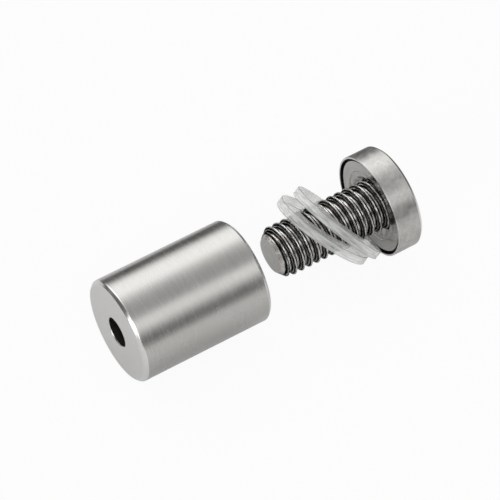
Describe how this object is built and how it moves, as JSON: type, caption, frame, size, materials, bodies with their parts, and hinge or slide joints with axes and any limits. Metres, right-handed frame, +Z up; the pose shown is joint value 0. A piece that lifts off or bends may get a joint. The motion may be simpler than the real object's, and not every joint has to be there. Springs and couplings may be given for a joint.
{
  "type": "glass panel standoff",
  "caption": "Turned wall spacer with a screw-in cap and clear washers that holds a drilled glass panel off a wall, shown unscrewed.",
  "frame": {"origin": "centre of the barrel's back face, the face that meets the wall", "axes": "+X along the standoff's axis, away from the wall; +Z up"},
  "size_m": [0.0564, 0.019, 0.019],
  "materials": {
    "satin_steel": "brushed round the axis, satin",
    "bright_steel": "bright rolled",
    "clear_vinyl": "clear, slightly cloudy"
  },
  "bodies": {
    "barrel": {"barrel": "satin_steel"},
    "washers": {"inner_washer": "clear_vinyl", "outer_washer": "clear_vinyl"},
    "cap_and_stud": {"cap": "satin_steel", "stud": "bright_steel"}
  },
  "joints": [
    {"name": "stud_travel", "type": "slide", "parent": "barrel", "child": "washers", "axis": [-1, 0, 0], "range_m": [0, 0.0095]},
    {"name": "cap_turn", "type": "hinge", "parent": "washers", "child": "cap_and_stud", "pos_m": [0.0513, 0, 0], "axis": [-1, 0, 0], "range_deg": [0, 2124]}
  ],
  "couplings": [
    {"joint": "stud_travel", "follows": "cap_turn", "m_per_rad": 0.00025266}
  ]
}
